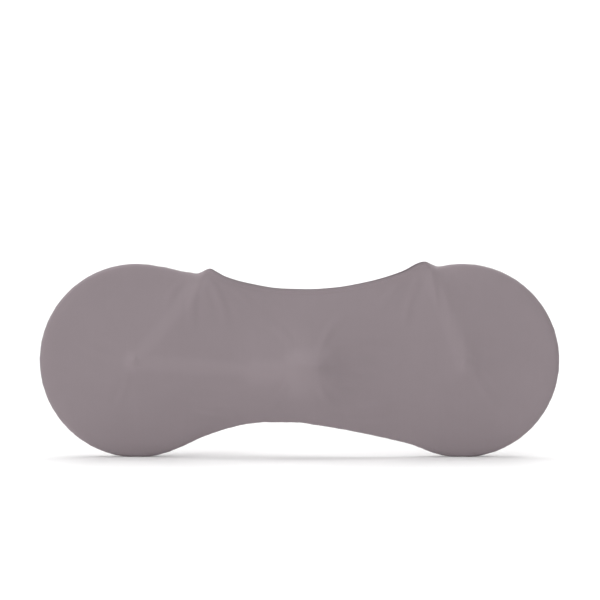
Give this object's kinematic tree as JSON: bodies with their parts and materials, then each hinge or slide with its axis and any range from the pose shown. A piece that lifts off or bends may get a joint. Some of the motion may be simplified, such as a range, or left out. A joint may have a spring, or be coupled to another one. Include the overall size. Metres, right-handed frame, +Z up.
{
  "type": "stretch-knit bicycle cover",
  "caption": "Stretch-knit indoor cover worn over a bicycle's wheels and drive, hollow, with an open hemmed mouth on top.",
  "frame": {"origin": "on the floor line below the worn cover, midway between the centres of its two wheel pockets and in its middle plane", "axes": "+X towards the bicycle's front wheel, +Y towards its left side, +Z up; the right panel is at -Y"},
  "size_m": [1.813, 0.2614, 0.6799],
  "materials": {
    "cover_knit": "matte"
  },
  "bodies": {
    "root": {"right_panel": "cover_knit", "left_panel": "cover_knit"}
  },
  "joints": []
}
